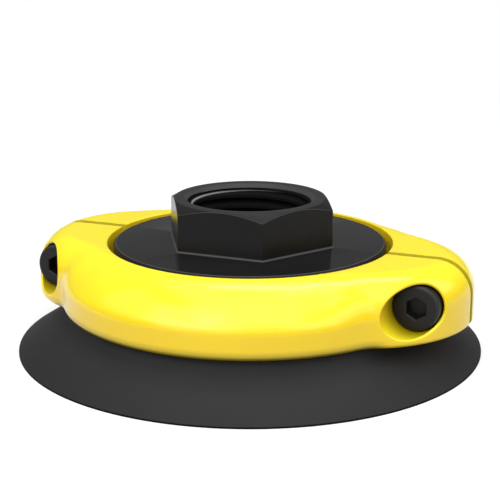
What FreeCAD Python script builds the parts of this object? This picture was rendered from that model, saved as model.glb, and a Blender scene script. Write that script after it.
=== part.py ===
import FreeCAD, Part
import math
import os

import Sketcher
from FreeCAD import Placement, Rotation, Vector

# A flat vacuum cup: a rubber cup held on a threaded spool by a clamp ring in two halves.
# Millimetres, +Z up. The origin is the centre of the sealing plane.
# X runs from ear to ear along the clamp's split, and the screw heads face -Y.

SIZES = {
    # Rubber cup
    "lip_radius": 38.5,
    "lip_edge": 0.3,
    "seal_width": 1.2,
    "shoulder_radius": 27.8,
    "ceiling_radius": 27.0,
    "ceiling_height": 4.9,
    "neck_radius": 22.5,
    "cleat_count": 12,
    "cleat_width": 2.4,
    "cleat_start": 22.2,
    "cleat_end": 33.0,
    "cleat_foot": 1.2,
    "cleat_tip": 2.5,
    "cleat_root": 5.6,
    # Threaded fitting
    "disk_radius": 22.5,
    "disk_top": 17.45,
    "disk_bottom": 14.0,
    "disk_chamfer": 0.35,
    "groove_radius": 18.0,
    "flange_radius": 20.5,
    "flange_top": 9.0,
    "flange_bottom": 6.0,
    "hex_flats": 25.0,
    "hex_top": 24.7,
    "hex_foot_fillet": 0.4,
    "mouth_radius": 10.75,
    "bore_radius": 9.3155,
    "bore_depth": 15.0,
    "passage_radius": 7.0,
    # Clamp ring
    "clamp_bottom": 7.1,
    "clamp_top": 17.55,
    "clamp_foot_round": 0.8,
    "opening_radius": 23.5,
    "ledge_height": 13.5,
    "ring_radius": 31.0,
    "ring_crease": 11.45,
    "ring_flat": 0.5,
    "ring_bulge": 0.11,
    "ear_reach": 37.4,
    "ear_radius": 18.2,
    "ear_blend": 8.0,
    "ear_round": 5.5,
    "valley_fill": 0.14,
    "valley_swell": 0.3,
    "split_gap": 1.5,
    # Clamp screws and their threaded inserts
    "screw_spacing": 62.3,
    "screw_height": 12.1,
    "screw_seat": 6.1,
    "screw_length": 16.0,
    "screw_radius": 2.0,
    "screw_tip_chamfer": 0.5,
    "screw_hole_radius": 2.25,
    "screw_hole_depth": 11.0,
    "head_radius": 3.6,
    "head_height": 4.0,
    "head_round": 0.5,
    "socket_flats": 3.0,
    "socket_depth": 2.0,
    "counterbore_radius": 3.8,
    "counterbore_round": 0.3,
    "insert_radius": 2.8,
    "insert_waist": 2.5,
    "insert_band": 2.6,
    "insert_length": 8.0,
}
HEX_CHAMFER_ANGLE = 30.0
CHAMFER_REACH = 1.25
MOUTH_ANGLE = 45.0
CORNER_UP = 30.0
EAR_SECTIONS = 5
HOLLOW_SECTIONS = 3
VALLEY_SECTIONS = 3
DOME_GROWTH = 1.5
VALLEY_START = 22.0
VALLEY_END = 48.0
SPLIT_REACH = 60.0

doc = FreeCAD.newDocument("flat_vacuum_cup")
sheet = doc.addObject("Spreadsheet::Sheet", "sizes")
for row, (alias, amount) in enumerate(SIZES.items(), start=1):
    sheet.set(f"A{row}", alias)
    sheet.set(f"B{row}", str(amount))
    sheet.setAlias(f"B{row}", alias)
doc.recompute()


class Size:
    """A number, together with the sheet expression that it comes from."""

    def __init__(self, text, value):
        self.text = text
        self.value = value

    def join(self, sign, other, value):
        return Size(f"({self.text} {sign} {as_size(other).text})", value)

    def __add__(self, other):
        return self.join("+", other, self.value + as_size(other).value)

    def __sub__(self, other):
        return self.join("-", other, self.value - as_size(other).value)

    def __mul__(self, other):
        return self.join("*", other, self.value * as_size(other).value)

    def __neg__(self):
        return Size(f"(-{self.text})", -self.value)


def as_size(number):
    return number if isinstance(number, Size) else Size(f"{number:.6f}", number)


def size(alias):
    return Size(f"sizes.{alias}", sheet.get(alias))


def length_of(across, up):
    """The length of a slanted line from its two legs."""
    text = f"sqrt(({across.text})^2 + ({up.text})^2)"
    return Size(text, math.hypot(across.value, up.value))


def origin_feature(body, role):
    return next(item for item in body.Origin.OriginFeatures if item.Role == role)


def new_body(label):
    body = doc.addObject("PartDesign::Body", label)
    body.Label = label
    body.Placement = Placement()
    return body


def new_sketch(body, name, plane, turn=0.0, at=(0, 0, 0)):
    """A sketch on an origin plane, turned about its upright axis or moved within its own frame."""
    sketch = body.newObject("Sketcher::SketchObject", name)
    sketch.AttachmentSupport = [(origin_feature(body, plane), "")]
    sketch.MapMode = "FlatFace"
    shift = [as_size(amount) for amount in at]
    base = Vector(*(amount.value for amount in shift))
    sketch.AttachmentOffset = Placement(base, Rotation(Vector(0, 1, 0), turn))
    for axis, amount in zip("xyz", shift):
        if amount.value:
            sketch.setExpression(f"AttachmentOffset.Base.{axis}", amount.text)
    return sketch


def bind(sketch, kind, geometry, end, amount):
    """Hold one point of a line or circle at a coordinate that the sheet gives."""
    amount = as_size(amount)
    if near(amount.value, 0.0):
        axis = -2 if kind == "DistanceX" else -1
        sketch.addConstraint(Sketcher.Constraint("PointOnObject", geometry, end, axis))
        return
    held = Sketcher.Constraint(kind, -1, 1, geometry, end, amount.value)
    index = sketch.addConstraint(held)
    sketch.setExpression(f"Constraints[{index}]", amount.text)


def bind_radius(sketch, geometry, amount):
    index = sketch.addConstraint(Sketcher.Constraint("Radius", geometry, amount.value))
    sketch.setExpression(f"Constraints[{index}]", amount.text)


def place(corner):
    return Vector(as_size(corner[0]).value, as_size(corner[1]).value, 0)


def outline(sketch, corners, rounded=None):
    """A closed outline through corners given as sizes, with an arc after each rounded corner."""
    rounded = rounded or {}
    first = sketch.GeometryCount
    count = len(corners)
    for number, corner in enumerate(corners):
        after = corners[(number + 1) % count]
        if number in rounded:
            edge = arc_between(place(corner), place(after), rounded[number].value)
        else:
            edge = Part.LineSegment(place(corner), place(after))
        sketch.addGeometry(edge, False)
    for number, (across, up) in enumerate(corners):
        line, after = first + number, first + (number + 1) % count
        sketch.addConstraint(Sketcher.Constraint("Coincident", line, 2, after, 1))
        bind(sketch, "DistanceX", line, 1, across)
        bind(sketch, "DistanceY", line, 1, up)
    for number, radius in rounded.items():
        bind_radius(sketch, first + number, radius)


def arc_between(start, end, radius):
    """The short arc between two points that bows out to the right of the way between them."""
    chord = end - start
    half = chord.Length / 2.0
    inward = Vector(-chord.y, chord.x, 0).normalize()
    centre = start + chord * 0.5 + inward * math.sqrt(max(radius**2 - half**2, 0.0))
    return Part.Arc(start, centre - inward * radius, end)


def hexagon(sketch, flats, centre, first_corner):
    """A regular hexagon across its flats, its first corner at an angle from the sketch's X."""
    reach = flats * (1.0 / math.sqrt(3.0))
    corners = []
    for number in range(6):
        angle = math.radians(first_corner + 60.0 * number)
        across = as_size(centre[0]) + reach * math.cos(angle)
        up = as_size(centre[1]) + reach * math.sin(angle)
        corners.append((across, up))
    outline(sketch, corners)


def circle(sketch, centre, radius):
    """A circle in four arcs, so that its seams lie on the diagonals."""
    off = radius * math.sqrt(0.5)
    across, up = as_size(centre[0]), as_size(centre[1])
    corners = [
        (across + off, up + off),
        (across - off, up + off),
        (across - off, up - off),
        (across + off, up - off),
    ]
    outline(sketch, corners, {number: radius for number in range(4)})


def settle(body, feature):
    """Recompute, and stop if a cut has missed the solid."""
    doc.recompute()
    before = feature.BaseFeature.Shape.Volume if feature.BaseFeature else 0.0
    cuts = feature.TypeId in ("PartDesign::Pocket", "PartDesign::Groove")
    if cuts and feature.Shape.Volume > before - 1e-3:
        raise RuntimeError(f"{body.Label}: {feature.Label} cuts nothing")
    return feature


def revolve(body, kind, name, sketch):
    """Turn a sketch once about its own upright axis."""
    feature = body.newObject(kind, name)
    feature.Profile = sketch
    feature.ReferenceAxis = (sketch, ["V_Axis"])
    feature.Angle = 360.0
    return settle(body, feature)


def turned(body, kind, name, corners):
    """Turn an outline of radius and height about the cup's axis."""
    sketch = new_sketch(body, name + "_outline", "XZ_Plane")
    outline(sketch, corners)
    return revolve(body, kind, name, sketch)


def extrude(body, kind, name, sketch, length=None, symmetric=False, reverse=False):
    feature = body.newObject(kind, name)
    feature.Profile = sketch
    if length is None:
        feature.Type = "ThroughAll"
    else:
        feature.Length = length.value
        feature.setExpression("Length", length.text)
    feature.SideType = "Symmetric" if symmetric else "One side"
    feature.Reversed = reverse
    return settle(body, feature)


def fillet(body, name, base, edges, radius):
    feature = body.newObject("PartDesign::Fillet", name)
    feature.Base = (base, edges)
    feature.Radius = radius.value
    feature.setExpression("Radius", radius.text)
    return settle(body, feature)


def mirror_pair(body):
    """The same again on the other ear: a second solid, or the other end of a half ring."""
    body.AllowCompound = True
    pair = body.newObject("PartDesign::Mirrored", "pair")
    pair.TransformMode = "Whole shape"
    pair.MirrorPlane = (origin_feature(body, "YZ_Plane"), [""])
    body.Tip = pair
    return settle(body, pair)


def near(one, other):
    return abs(one - other) < 1e-4


def edges_where(feature, test):
    """The names of the edges whose middle point passes a test."""
    names = []
    for number, edge in enumerate(feature.Shape.Edges, start=1):
        middle = edge.valueAt((edge.FirstParameter + edge.LastParameter) / 2.0)
        if test(middle):
            names.append(f"Edge{number}")
    return names


def suction_cup():
    """The rubber cup: thin lip, sloping wall, shoulder, neck with an inner bead, and cleats."""
    body = new_body("suction_cup")
    lip = size("lip_radius")
    turned(body, "PartDesign::Revolution", "cup_wall", [
        (lip - size("seal_width"), 0),
        (lip, 0),
        (lip, size("lip_edge")),
        (size("shoulder_radius"), size("clamp_bottom")),
        (size("neck_radius"), size("clamp_bottom")),
        (size("neck_radius"), size("disk_bottom")),
        (size("groove_radius"), size("disk_bottom")),
        (size("groove_radius"), size("flange_top")),
        (size("flange_radius"), size("flange_top")),
        (size("flange_radius"), size("ceiling_height")),
        (size("ceiling_radius"), size("ceiling_height")),
    ])
    side = new_sketch(body, "cleat_outline", "XZ_Plane")
    outline(side, [
        (size("cleat_start"), size("cleat_foot")),
        (size("cleat_end"), size("cleat_foot")),
        (size("cleat_end"), size("cleat_tip")),
        (size("ceiling_radius"), size("cleat_root")),
        (size("cleat_start"), size("cleat_root")),
    ])
    cleat = extrude(body, "PartDesign::Pad", "cleat", side, size("cleat_width"), symmetric=True)
    ring = body.newObject("PartDesign::PolarPattern", "cleats")
    ring.Originals = [cleat]
    ring.Axis = (origin_feature(body, "Z_Axis"), [""])
    ring.Angle = 360.0
    ring.Occurrences = int(SIZES["cleat_count"])
    ring.setExpression("Occurrences", "sizes.cleat_count")
    body.Tip = ring
    return body


def threaded_fitting():
    """The spool: lower flange, neck, top disk and hexagon, bored through for a pipe thread."""
    body = new_body("threaded_fitting")
    disk, top = size("disk_radius"), size("disk_top")
    chamfer = size("disk_chamfer")
    turned(body, "PartDesign::Revolution", "spool", [
        (0, size("flange_bottom")),
        (size("flange_radius"), size("flange_bottom")),
        (size("flange_radius"), size("flange_top")),
        (size("groove_radius"), size("flange_top")),
        (size("groove_radius"), size("disk_bottom")),
        (disk, size("disk_bottom")),
        (disk, top - chamfer),
        (disk - chamfer, top),
        (0, top),
    ])
    flats, hex_top = size("hex_flats"), size("hex_top")
    spanner = new_sketch(body, "hexagon_outline", "XY_Plane", at=(0, 0, top))
    hexagon(spanner, flats, (0, 0), 0.0)
    prism = extrude(body, "PartDesign::Pad", "hexagon", spanner, hex_top - top)

    def at_foot(middle):
        corner_reach = flats.value / math.sqrt(3.0)
        return near(middle.z, top.value) and math.hypot(middle.x, middle.y) < corner_reach

    fillet(body, "hexagon_foot", prism, edges_where(prism, at_foot), size("hex_foot_fillet"))

    half_flats = flats * 0.5
    outer = half_flats * CHAMFER_REACH
    fall = (outer - half_flats) * math.tan(math.radians(HEX_CHAMFER_ANGLE))
    turned(body, "PartDesign::Groove", "hexagon_chamfer", [
        (half_flats, hex_top),
        (outer, hex_top - fall),
        (outer, hex_top),
    ])
    mouth, bore = size("mouth_radius"), size("bore_radius")
    lead = (mouth - bore) * math.tan(math.radians(MOUTH_ANGLE))
    floor = hex_top - size("bore_depth")
    passage, bottom = size("passage_radius"), size("flange_bottom")
    turned(body, "PartDesign::Groove", "thread_bore", [
        (0, hex_top),
        (mouth, hex_top),
        (bore, hex_top - lead),
        (bore, floor),
        (passage, floor - (bore - passage)),
        (passage, bottom),
        (0, bottom),
    ])
    return body


def clamp_plan():
    """The clamp's outline from above: angles, each with the wall's and the dome's share of the ear's form.

    A share runs from ring (0) to ear (1). The ear is a circle centred on the split line. A hollow arc
    blends its wall into the ring's. The dome fills the valley beside the ear and goes on a little longer.
    """
    ring, ear = SIZES["ring_radius"], SIZES["ear_radius"]
    blend, reach = SIZES["ear_blend"], SIZES["ear_reach"]
    centre = reach - ear
    far = ring + blend
    ring_end = math.acos((far**2 + centre**2 - (ear + blend) ** 2) / (2.0 * far * centre))
    hollow = (far * math.cos(ring_end), far * math.sin(ring_end))
    pull = ear / (ear + blend)
    ear_end = math.atan2(hollow[1] * pull, centre + (hollow[0] - centre) * pull)
    walls = []
    for number in range(EAR_SECTIONS + 1):
        angle = ear_end * number / EAR_SECTIONS
        radius = centre * math.cos(angle) + math.sqrt(ear**2 - (centre * math.sin(angle)) ** 2)
        walls.append((math.degrees(angle), radius))
    for number in range(1, HOLLOW_SECTIONS + 1):
        angle = between(ear_end, ring_end, number / HOLLOW_SECTIONS)
        off = ring_end - angle
        radius = far * math.cos(off) - math.sqrt(blend**2 - (far * math.sin(off)) ** 2)
        walls.append((math.degrees(angle), radius))
    for number in range(1, VALLEY_SECTIONS + 1):
        walls.append((between(math.degrees(ring_end), VALLEY_END, number / VALLEY_SECTIONS), ring))
    plan = []
    for angle, radius in walls:
        share = (radius - ring) / (reach - ring)
        plan.append((angle, share, share + valley_fill(angle)))
    return plan


def valley_fill(angle):
    """How much more of the ear's form the dome keeps in the valley."""
    way = (angle - VALLEY_START) / (VALLEY_END - VALLEY_START)
    return SIZES["valley_fill"] * math.sin(math.pi * min(max(way, 0.0), 1.0)) ** 2


def between(ring_value, ear_value, share):
    return ring_value + (ear_value - ring_value) * share


def clamp_section(body, angle, wall_share, dome_share):
    """The clamp's cross-section on an upright plane through the axis.

    On the ring the dome meets the wall in a crease. On the ear it is a round that runs into it,
    and it grows round early, so that the flat top shows no edge.
    """
    sketch = new_sketch(body, "section", "XZ_Plane", turn=angle)
    low, high = size("clamp_bottom"), size("clamp_top")
    core = size("groove_radius")
    foot = size("clamp_foot_round")
    wall = between(size("ring_radius"), size("ear_reach"), wall_share)
    crease = between(size("ring_crease"), high - size("ear_round"), dome_share)
    ring_flat = size("opening_radius") + size("ring_flat")
    flat = between(ring_flat, size("ear_reach") - size("ear_round"), dome_share)
    quarter_round = (1.0 - math.sqrt(0.5)) * math.sqrt(0.5)
    round_share = 1.0 - (1.0 - dome_share) ** DOME_GROWTH
    bulge = between(size("ring_bulge"), as_size(quarter_round), round_share)
    bulge = bulge + size("valley_swell") * (dome_share - wall_share)
    chord = length_of(wall - flat, high - crease)
    dome = Size(
        f"({chord.text} * (1 / (8 * {bulge.text}) + {bulge.text} / 2))",
        chord.value * (1.0 / (8.0 * bulge.value) + bulge.value / 2.0))
    corners = [
        (core, low),
        (wall - foot, low),
        (wall, low + foot),
        (wall, crease),
        (flat, high),
        (core, high),
    ]
    outline(sketch, corners, {1: foot, 3: dome})
    return sketch


def clamp_quarter(label, side):
    """A quarter of the clamp: a turned ring that swells through sections into one ear.

    It lies on the +X side, behind the split (side 1) or in front of it (side -1).
    """
    body = new_body(label)
    plan = clamp_plan()
    sections = [clamp_section(body, side * angle, wall, dome) for angle, wall, dome in plan]
    ear = body.newObject("PartDesign::AdditiveLoft", "ear")
    ear.Profile = sections[0]
    ear.Sections = sections[1:]
    settle(body, ear)
    ring_end = plan[-1][0]
    ring = body.newObject("PartDesign::Revolution", "ring")
    ring.Profile = clamp_section(body, side * ring_end, 0.0, 0.0)
    ring.ReferenceAxis = (ring.Profile[0], ["V_Axis"])
    ring.Angle = 90.0 - ring_end
    ring.Reversed = side < 0
    settle(body, ring)

    low, high = size("clamp_bottom"), size("clamp_top")
    neck, opening = size("neck_radius"), size("opening_radius")
    ledge = size("ledge_height")
    turned(body, "PartDesign::Groove", "clamp_bore", [
        (0, low),
        (neck, low),
        (neck, ledge),
        (opening, ledge),
        (opening, high),
        (0, high),
    ])
    split = new_sketch(body, "split_outline", "XY_Plane")
    half_gap = size("split_gap") * 0.5
    reach = as_size(SPLIT_REACH)
    outline(split, [(-reach, -half_gap), (reach, -half_gap), (reach, half_gap), (-reach, half_gap)])
    extrude(body, "PartDesign::Pocket", "split", split, symmetric=True)
    return body


def screw_centre():
    """The right-hand screw's place, seen from the front."""
    return (size("screw_spacing") * 0.5, size("screw_height"))


def round_hole(body, name, radius, start, length=None, towards_front=False):
    """A round hole on the screw's axis, from an upright plane towards the front or the back."""
    sketch = new_sketch(body, name + "_outline", "XZ_Plane", at=(0, 0, start))
    circle(sketch, screw_centre(), radius)
    return extrude(body, "PartDesign::Pocket", name, sketch, length, reverse=towards_front)


def front_clamp_half():
    """The half with a clearance hole and a round-edged counterbore for each screw."""
    body = clamp_quarter("front_clamp_half", -1)
    seat, radius = size("screw_seat"), size("counterbore_radius")
    round_hole(body, "screw_hole", size("screw_hole_radius"), 0, towards_front=True)
    bore = round_hole(body, "counterbore", radius, seat, towards_front=True)

    def at_mouth(middle):
        side = abs(middle.x - SIZES["screw_spacing"] / 2.0)
        rise = abs(middle.z - SIZES["screw_height"])
        on_wall = near(math.hypot(side, rise), radius.value)
        return on_wall and not near(middle.y, -seat.value) and not near(side, rise)

    mouth = edges_where(bore, at_mouth)
    fillet(body, "counterbore_mouth", bore, mouth, size("counterbore_round"))
    mirror_pair(body)
    return body


def rear_clamp_half():
    """The half with a blind hole for each screw, opened out for a threaded insert."""
    body = clamp_quarter("rear_clamp_half", 1)
    insert_end = size("split_gap") * 0.5 + size("insert_length")
    round_hole(body, "screw_hole", size("screw_hole_radius"), 0, size("screw_hole_depth"))
    round_hole(body, "insert_seat", size("insert_radius"), 0, insert_end)
    mirror_pair(body)
    return body


def screw_axis_sketch(body, name):
    """A sketch whose upright axis is the right-hand screw's axis."""
    half, height = screw_centre()
    return new_sketch(body, name, "XY_Plane", at=(half, 0, height))


def clamp_screws():
    """Socket head cap screws: head in the counterbore, shank through both halves."""
    body = new_body("clamp_screws")
    seat = size("screw_seat")
    face = seat + size("head_height")
    tip = size("screw_length") - seat
    shank, chamfer = size("screw_radius"), size("screw_tip_chamfer")
    head, edge = size("head_radius"), size("head_round")
    profile = screw_axis_sketch(body, "screw_outline")
    outline(profile, [
        (0, -face),
        (head - edge, -face),
        (head, edge - face),
        (head, -seat),
        (shank, -seat),
        (shank, tip - chamfer),
        (shank - chamfer, tip),
        (0, tip),
    ], {1: edge})
    revolve(body, "PartDesign::Revolution", "screw", profile)
    socket = new_sketch(body, "socket_outline", "XZ_Plane", at=(0, 0, face))
    hexagon(socket, size("socket_flats"), screw_centre(), CORNER_UP)
    extrude(body, "PartDesign::Pocket", "socket", socket, size("socket_depth"))
    mirror_pair(body)
    return body


def thread_inserts():
    """Threaded bushes in the rear half: two gripping bands with a waist between them."""
    body = new_body("thread_inserts")
    start = size("split_gap") * 0.5
    end = start + size("insert_length")
    bore, outer, waist = size("screw_radius"), size("insert_radius"), size("insert_waist")
    band = size("insert_band")
    profile = screw_axis_sketch(body, "insert_outline")
    outline(profile, [
        (bore, start),
        (outer, start),
        (outer, start + band),
        (waist, start + band),
        (waist, end - band),
        (outer, end - band),
        (outer, end),
        (bore, end),
    ])
    revolve(body, "PartDesign::Revolution", "insert", profile)
    mirror_pair(body)
    return body


def finish(sub_parts):
    """Stop on any failed object or shape, then write one file for each sub-part."""
    doc.recompute()
    for item in doc.Objects:
        if "Invalid" in item.State or "Error" in item.State:
            raise RuntimeError(f"{item.Label} failed: {item.State}")
    for part in sub_parts:
        if part.Shape.isNull() or not part.Shape.isValid():
            raise RuntimeError(f"{part.Label} has no valid shape")
    os.makedirs("parts", exist_ok=True)
    for part in sub_parts:
        part.Shape.exportStep(f"parts/{part.Label}.step")
        print(part.Label, len(part.Shape.Solids), "solid", round(part.Shape.Volume, 1), "mm3")


finish([
    suction_cup(),
    threaded_fitting(),
    front_clamp_half(),
    rear_clamp_half(),
    clamp_screws(),
    thread_inserts(),
])
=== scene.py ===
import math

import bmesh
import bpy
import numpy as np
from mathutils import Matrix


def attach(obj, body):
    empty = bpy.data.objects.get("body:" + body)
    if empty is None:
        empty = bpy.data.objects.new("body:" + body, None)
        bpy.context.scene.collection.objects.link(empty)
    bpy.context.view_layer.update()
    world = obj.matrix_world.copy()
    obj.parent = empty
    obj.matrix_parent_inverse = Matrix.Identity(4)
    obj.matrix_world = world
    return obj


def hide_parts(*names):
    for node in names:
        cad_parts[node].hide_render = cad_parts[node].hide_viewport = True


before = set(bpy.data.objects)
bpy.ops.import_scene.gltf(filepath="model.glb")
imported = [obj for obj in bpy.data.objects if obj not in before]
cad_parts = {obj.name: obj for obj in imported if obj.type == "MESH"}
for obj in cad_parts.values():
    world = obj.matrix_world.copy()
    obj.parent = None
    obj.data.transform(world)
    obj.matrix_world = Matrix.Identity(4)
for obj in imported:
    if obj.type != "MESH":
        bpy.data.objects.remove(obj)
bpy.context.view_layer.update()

# %% [markdown]
# # A flat vacuum cup
# A robot lifts sheets with this part: a rubber cup seals on the sheet, a yellow clamp ring in two
# halves holds the cup on a black fitting, and a hose screws into the fitting's hexagon. The
# packed solids are already loaded, in metres, with the sealing lip on the floor and the axis
# along Z. Sizes below are in millimetres, as on a drawing, and are turned into metres when a mesh
# is made.

MM = 0.001

# %% [markdown]
# ## Camera
# The photograph looks at the part from the right of the front, a little from above, through a
# long lens. The camera's place was worked out from the lip's ellipse and the hexagon's corners,
# so that the render and the photograph can be laid over each other.

# %% Camera
CAMERA_PLACE = (76.57, -184.86, 69.45)
CAMERA_AZIMUTH = 22.5
CAMERA_DROP = 15.07
LENS, SENSOR_WIDTH = 89.83, 36.0
NEAR_LIMIT = 10.0

camera = bpy.data.objects.new("camera", bpy.data.cameras.new("camera"))
camera.data.lens = LENS
camera.data.sensor_width = SENSOR_WIDTH
camera.data.clip_start = NEAR_LIMIT * MM
camera.location = [side * MM for side in CAMERA_PLACE]
camera.rotation_euler = (math.radians(90.0 - CAMERA_DROP), 0.0, math.radians(CAMERA_AZIMUTH))
bpy.context.scene.collection.objects.link(camera)
bpy.context.scene.camera = camera
bpy.context.scene.view_settings.view_transform = "Standard"
print("camera", round(camera.location.length / MM), "mm from the lip's centre")

# %% [markdown]
# ## Sums in place of node wiring
# A finish needs many small nodes. Wired by hand they are hard to read, so one class wraps an
# output socket and lets Python's own operators add the Math nodes. Its `node` method adds any
# other node. The same class serves shader trees and geometry trees, because both hold nodes and
# sockets.

# %% A socket that can be added and multiplied
class Wire:
    """An output socket that joins in Python sums."""

    def __init__(self, socket):
        self.socket = socket

    def node(self, kind, settings=None, inputs=None, output=0):
        """Any other node of the same tree: its settings first, then its sockets' values."""
        made = self.socket.id_data.nodes.new(kind)
        for name, value in (settings or {}).items():
            setattr(made, name, value)
        for name, value in (inputs or {}).items():
            plug(made.inputs[name], value)
        return Wire(made.outputs[output])

    def math(self, operation, *others):
        values = dict(enumerate((self, *others)))
        return self.node("ShaderNodeMath", {"operation": operation}, values)

    def __add__(self, other):
        return self.math("ADD", other)

    def __sub__(self, other):
        return self.math("SUBTRACT", other)

    def __rsub__(self, other):
        return self.math("MULTIPLY_ADD", -1.0, other)

    def __mul__(self, other):
        return self.math("MULTIPLY", other)

    def __truediv__(self, other):
        return self.math("DIVIDE", other)

    __radd__ = __add__

    def between(self, low, high):
        """0 below low, 1 above high and smooth between them."""
        return self.node(
            "ShaderNodeMapRange", {"interpolation_type": "SMOOTHSTEP"},
            {"Value": self, "From Min": low, "From Max": high})

    def mix(self, first, second):
        """One colour where this is 0, the other where it is 1."""
        colours = {"Factor": self, 6: first, 7: second}
        return self.node("ShaderNodeMix", {"data_type": "RGBA"}, colours, output=2)


def plug(socket, value):
    """Give a socket a link, or a plain value."""
    if isinstance(value, Wire):
        socket.id_data.links.new(value.socket, socket)
    else:
        socket.default_value = value


print("sums ready:", [name for name in vars(Wire) if name.startswith("__r")])

# %% [markdown]
# ## Finishes
# Each finish starts from the place on the object, so a grain keeps its real size in millimetres.
# What varies goes into colour, roughness and bump. What is the same all over is a plain value on
# the shader. A bump's distance is the real height of the grain.

# %% Starting a finish
def new_finish(name, **constants):
    """A material, the place on the object in millimetres, and its shader."""
    material = bpy.data.materials.new(name)
    material.use_nodes = True
    shader = material.node_tree.nodes["Principled BSDF"]
    for socket, value in constants.items():
        shader.inputs[socket.replace("_", " ")].default_value = value
    start = Wire(material.node_tree.nodes.new("ShaderNodeTexCoord").outputs["Object"])
    place = start.node(
        "ShaderNodeVectorMath", {"operation": "SCALE"}, {0: start, "Scale": 1.0 / MM})
    return material, place, shader


def noise(place, size, detail):
    """Cloudy noise from 0 to 1 with spots of about a size in millimetres."""
    return place.node(
        "ShaderNodeTexNoise", {}, {"Vector": place, "Scale": 1.0 / size, "Detail": detail})


def bump(height, depth):
    """A normal from a height between 0 and 1 that is worth a depth in millimetres."""
    return height.node("ShaderNodeBump", {}, {"Height": height, "Distance": depth * MM})


def add_matt_colour(material, shader, where, colour):
    """A colour without gloss in a finish, where a mask is 1."""
    dry = where.node("ShaderNodeBsdfDiffuse", {}, {"Color": colour})
    glossy = Wire(shader.outputs["BSDF"])
    both = where.node("ShaderNodeMixShader", {}, {0: where, 1: glossy, 2: dry})
    plug(material.node_tree.nodes["Material Output"].inputs["Surface"], both)


def facing_up(place):
    """1 on level faces, 0 on upright ones and -1 on those that look down."""
    normal = place.node("ShaderNodeNewGeometry", output="Normal")
    return normal.node("ShaderNodeSeparateXYZ", {}, {0: normal}, output=2)


def axis_parts(place):
    """The three coordinates and the distance from the cup's axis."""
    x, y, z = (
        place.node("ShaderNodeSeparateXYZ", {}, {0: place}, output=way) for way in range(3))
    return x, y, z, (x * x + y * y).math("SQRT")


print("finishes start from", new_finish.__doc__)

# %% [markdown]
# ## Rubber
# The cup is black nitrile rubber from a turned mould. Its face is matt, with a fine even grain,
# the faintest rings from the mould's turning, and a grey bloom that comes and goes over a few
# millimetres. Close to the clamp the upper face is painted paler, as painted light that lifts the
# clamp's shadow, and towards the lip the cone is painted a little darker, as painted shade. The
# lip's bottom edge is painted nearly black and without gloss, as painted shade where it meets the
# floor. All three are masks by radius, because the cup is round.

# %% Rubber finish
PAINTED_LIGHT_RADII, LIP_SHADE_RADII = (26.5, 31.0), (33.0, 38.0)
LIP_EDGE_RADII, LIP_EDGE_HEIGHTS = (37.6, 38.0), (0.15, 0.4)
RUBBER_BLACK, RUBBER_BLOOM = (0.0146, 0.0139, 0.0149, 1), (0.0174, 0.0166, 0.0177, 1)
RUBBER_LIP_SHADE, RUBBER_PAINTED_LIGHT = (0.0134, 0.0128, 0.0137, 1), (0.10, 0.097, 0.10, 1)
LIP_EDGE_SHADE_BLACK = (0.004, 0.004, 0.004, 1)
MOULD_LINES, RUBBER_RELIEF = 9.0, 0.012

rubber, place, shader = new_finish("cup_rubber", Specular_IOR_Level=0.25)
_, _, height, radius = axis_parts(place)
bloom = noise(place, 7.0, 4.0)
grain = noise(place, 0.16, 2.0)
rings = (radius * MOULD_LINES + bloom * 1.5).math("SINE") * 0.5 + 0.5
open_face = bloom.between(0.25, 0.75).mix(RUBBER_BLACK, RUBBER_BLOOM)
# Painted shade: the cone is a little darker towards the lip.
open_face = radius.between(*LIP_SHADE_RADII).mix(open_face, RUBBER_LIP_SHADE)
# Painted light: close to the clamp the upper face is paler, to lift the clamp's shadow.
painted_light_near_clamp = (1.0 - radius.between(*PAINTED_LIGHT_RADII)) * facing_up(place).between(0.0, 0.3)
# Painted shade: the lip's bottom edge is nearly black and without gloss where it meets the floor.
lip_edge_shade = radius.between(*LIP_EDGE_RADII) * (1.0 - height.between(*LIP_EDGE_HEIGHTS))
plug(shader.inputs["Base Color"], painted_light_near_clamp.mix(open_face, RUBBER_PAINTED_LIGHT))
plug(shader.inputs["Roughness"], 0.56 + bloom * 0.12 + grain * 0.08)
plug(shader.inputs["Normal"], bump(grain * 0.8 + rings * 0.2, RUBBER_RELIEF))
add_matt_colour(rubber, shader, lip_edge_shade, LIP_EDGE_SHADE_BLACK)
print("made", rubber.name)

# %% [markdown]
# ## Yellow plastic
# The clamp is injection moulded and glossy. Gloss plastic is never quite flat: a very shallow
# orange peel bends the reflections, and the pigment is a little stronger where the melt flowed
# last. Faces that look up are painted paler and greener, as painted light from above. The ring's
# foot, the screw holes and the faces at the split are painted darker, as painted shade. All of
# these are masks from the place on the part.

# %% Yellow finish
HALF_GAP, SCREW_X, SCREW_Z = 0.75, 31.15, 12.1
HOLE_SHADE_RADII, HOLE_SHADE_REACH, FRONT_END = (3.81, 3.86), (-16.0, -9.5), (-0.5, 0.5)
FOOT_SHADE_HEIGHTS, FOOT_SHADE_RADII, PARTING_WIDTH = (7.0, 8.9), (31.2, 33.0), (0.02, 0.05)
WALL_YELLOW, LATE_YELLOW = (0.90, 0.62, 0.009, 1), (0.92, 0.65, 0.012, 1)
TOP_LIGHT_YELLOW, PARTING_SHADE_YELLOW = (0.91, 0.75, 0.014, 1), (0.52, 0.43, 0.003, 1)
HOLE_SHADE_YELLOW, FOOT_SHADE_YELLOW = (0.36, 0.27, 0.003, 1), (0.18, 0.145, 0.003, 1)
YELLOW_RELIEF = 0.006

yellow, place, shader = new_finish("clamp_plastic", Specular_IOR_Level=0.5)
flow = noise(place, 11.0, 3.0)
peel = noise(place, 0.9, 2.0)
speck = noise(place, 0.12, 1.0)
across, along, height, radius = axis_parts(place)
aside, above = across.math("ABSOLUTE") - SCREW_X, height - SCREW_Z
off_screw = (aside * aside + above * above).math("SQRT")
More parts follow.
